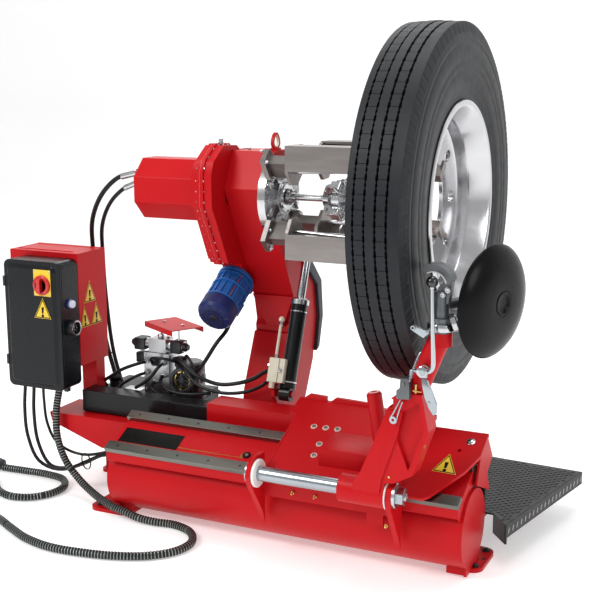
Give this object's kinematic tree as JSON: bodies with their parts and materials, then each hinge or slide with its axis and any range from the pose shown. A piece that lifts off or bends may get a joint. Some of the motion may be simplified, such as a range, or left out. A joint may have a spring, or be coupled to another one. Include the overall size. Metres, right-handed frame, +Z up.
{
  "type": "truck tyre changer",
  "caption": "Floor-standing truck tyre changer: red welded base with slide rails, hydraulic chuck arm holding a wheel, sliding tool carriage, control box and power unit.",
  "frame": {"origin": "centre of the footprint on the floor, without the cord", "axes": "+X along the chuck axis from the gearbox to the wheel, +Y to the back away from the operator, +Z up"},
  "size_m": [2.249, 1.1379, 1.567],
  "materials": {
    "red_tube": "gloss red paint",
    "red_foot_left": "gloss red paint",
    "red_foot_right": "gloss red paint",
    "red_bed": "gloss red paint",
    "rail_steel_low": "machined",
    "rail_steel_up": "machined",
    "beam_black": "satin black paint",
    "red_stand": "gloss red paint",
    "red_frame": "gloss red paint",
    "pin_steel": "machined",
    "red_post": "gloss red paint",
    "box_black": "satin black paint",
    "lamp_lens": "moulded",
    "socket_black": "moulded",
    "door_black": "satin black paint",
    "knob_red": "moulded",
    "tank_black": "satin black paint",
    "valve_metal": "machined",
    "pump_grey": "dark grey paint",
    "red_cover": "gloss red paint",
    "red_arm": "gloss red paint",
    "guard_grey": "moulded",
    "red_gearbox": "gloss red paint",
    "red_gear_cover": "gloss red paint",
    "red_union": "gloss red paint",
    "motor_blue": "blue paint",
    "fan_blue": "blue paint",
    "ring_red": "gloss red paint",
    "bearing_front": "machined",
    "bearing_rear": "machined",
    "spindle_steel": "machined",
    "flange_steel": "machined",
    "wheel_bronze": "machined bronze",
    "tyre_rubber": "moulded rubber",
    "rim_aluminium": "polished",
    "jaw_steel_1": "machined",
    "jaw_steel_2": "machined",
    "jaw_steel_3": "machined",
    "jaw_steel_4": "machined",
    "spider_steel": "polished",
    "barrel_black": "satin black paint",
    "rod_chrome": "polished",
    "valve_cream": "cream paint",
    "red_carriage": "gloss red paint",
    "red_hood": "gloss red paint",
    "shaft_chrome": "polished",
    "platform_black": "satin black paint",
    "red_tool_arm": "gloss red paint",
    "lever_chrome": "polished",
    "head_grey": "dark grey paint",
    "disc_black": "moulded",
    "conduit_armour": "ribbed",
    "coil_armour": "ribbed",
    "tail_armour": "ribbed",
    "plug_grey": "moulded",
    "cable_black_1": "ribbed",
    "cable_black_2": "ribbed",
    "hose_black": "ribbed",
    "hose_black_2": "ribbed",
    "cable_black_3": "ribbed"
  },
  "bodies": {
    "base": {"base_tube": "red_tube", "end_foot_left": "red_foot_left", "end_foot_right": "red_foot_right", "rail_bed": "red_bed", "lower_rail": "rail_steel_low", "upper_rail": "rail_steel_up", "slide_beam": "beam_black", "beam_stand": "red_stand", "pivot_frame": "red_frame", "pivot_pin": "pin_steel", "control_post": "red_post", "control_box": "box_black", "side_lamp": "lamp_lens", "side_socket": "socket_black", "oil_tank": "tank_black", "valve_block": "valve_metal", "pump_motor": "pump_grey", "power_cover": "red_cover", "conduit": "conduit_armour", "conduit_coil": "coil_armour", "conduit_tail": "tail_armour", "conduit_plug": "plug_grey", "cable_1": "cable_black_1", "cable_2": "cable_black_2", "union_hose": "hose_black", "lift_hose": "hose_black_2", "motor_cable": "cable_black_3"},
    "door": {"control_door": "door_black"},
    "knob": {"switch_knob": "knob_red"},
    "chuck_arm": {"arm_box": "red_arm", "guard_plate": "guard_grey", "gearbox_case": "red_gearbox", "gearbox_cover": "red_gear_cover", "union_housing": "red_union", "motor_body": "motor_blue", "fan_cover": "fan_blue", "lifting_ring": "ring_red", "bearing_front": "bearing_front", "bearing_rear": "bearing_rear"},
    "chuck": {"chuck_spindle": "spindle_steel", "chuck_flange": "flange_steel", "worm_wheel": "wheel_bronze", "truck_tyre": "tyre_rubber", "wheel_rim": "rim_aluminium"},
    "jaw_a": {"jaw_1": "jaw_steel_1"},
    "jaw_b": {"jaw_2": "jaw_steel_2"},
    "jaw_c": {"jaw_3": "jaw_steel_3"},
    "jaw_d": {"jaw_4": "jaw_steel_4"},
    "spider": {"jaw_spider": "spider_steel"},
    "barrel": {"lift_barrel": "barrel_black", "lock_valve": "valve_cream"},
    "rod": {"lift_rod": "rod_chrome"},
    "carriage": {"carriage_body": "red_carriage", "carriage_hood": "red_hood", "pivot_shaft": "shaft_chrome", "platform": "platform_black"},
    "tool": {"tool_arm": "red_tool_arm"},
    "lever": {"lock_lever": "lever_chrome"},
    "head": {"tool_head": "head_grey"},
    "disc": {"bead_disc": "disc_black"}
  },
  "joints": [
    {"name": "door_hinge", "type": "hinge", "parent": "base", "child": "door", "pos_m": [-0.884, -0.213, 0.6], "axis": [0, 0, -1], "range_deg": [0, 110]},
    {"name": "isolator_turn", "type": "hinge", "parent": "door", "child": "knob", "pos_m": [-0.719, -0.24, 0.736], "axis": [0, 1, 0], "range_deg": [0, 90]},
    {"name": "arm_lift", "type": "hinge", "parent": "base", "child": "chuck_arm", "pos_m": [-0.061, 0.12, 0.2], "axis": [-1, 0, 0], "range_deg": [0, 60], "deforming": ["union_hose", "lift_hose", "motor_cable"]},
    {"name": "chuck_turn", "type": "hinge", "parent": "chuck_arm", "child": "chuck", "pos_m": [0.034, 0, 1.04], "axis": [1, 0, 0], "continuous": true},
    {"name": "jaw_1_slide", "type": "slide", "parent": "chuck", "child": "jaw_a", "axis": [0, -0.7071, 0.7071], "range_m": [-0.045, 0]},
    {"name": "jaw_2_slide", "type": "slide", "parent": "chuck", "child": "jaw_b", "axis": [0, -0.7071, -0.7071], "range_m": [-0.045, 0]},
    {"name": "jaw_3_slide", "type": "slide", "parent": "chuck", "child": "jaw_c", "axis": [0, 0.7071, -0.7071], "range_m": [-0.045, 0]},
    {"name": "jaw_4_slide", "type": "slide", "parent": "chuck", "child": "jaw_d", "axis": [0, 0.7071, 0.7071], "range_m": [-0.045, 0]},
    {"name": "spider_slide", "type": "slide", "parent": "chuck", "child": "spider", "axis": [1, 0, 0], "range_m": [-0.0275, 0]},
    {"name": "barrel_tilt", "type": "hinge", "parent": "base", "child": "barrel", "pos_m": [0.058, 0, 0.4], "axis": [-1, 0, 0], "range_deg": [0, 63]},
    {"name": "rod_slide", "type": "slide", "parent": "barrel", "child": "rod", "axis": [0, 0.3473, 0.9378], "range_m": [0, 0.2316]},
    {"name": "carriage_slide", "type": "slide", "parent": "base", "child": "carriage", "axis": [1, 0, 0], "range_m": [0, 0.12]},
    {"name": "tool_tilt", "type": "hinge", "parent": "carriage", "child": "tool", "pos_m": [0.564, -0.388, 0.273], "axis": [1, 0, 0], "range_deg": [0, 50]},
    {"name": "lever_turn", "type": "hinge", "parent": "tool", "child": "lever", "pos_m": [0.669, -0.442, 0.652], "axis": [0, 1, 0], "range_deg": [0, 12]},
    {"name": "head_turn", "type": "hinge", "parent": "tool", "child": "head", "pos_m": [0.7, -0.388, 0.749], "axis": [0, 0, 1], "range_deg": [-45, 0]},
    {"name": "disc_spin", "type": "hinge", "parent": "head", "child": "disc", "pos_m": [0.818, -0.3, 0.824], "axis": [0.9499, -0.31, -0.04], "continuous": true}
  ],
  "couplings": [
    {"joint": "jaw_2_slide", "follows": "jaw_1_slide", "ratio": 1},
    {"joint": "jaw_3_slide", "follows": "jaw_1_slide", "ratio": 1},
    {"joint": "jaw_4_slide", "follows": "jaw_1_slide", "ratio": 1},
    {"joint": "spider_slide", "follows": "jaw_1_slide", "ratio": 0.6},
    {"joint": "barrel_tilt", "follows": "arm_lift", "ratio": 1.0473},
    {"joint": "rod_slide", "follows": "arm_lift", "m_per_rad": 0.221}
  ]
}
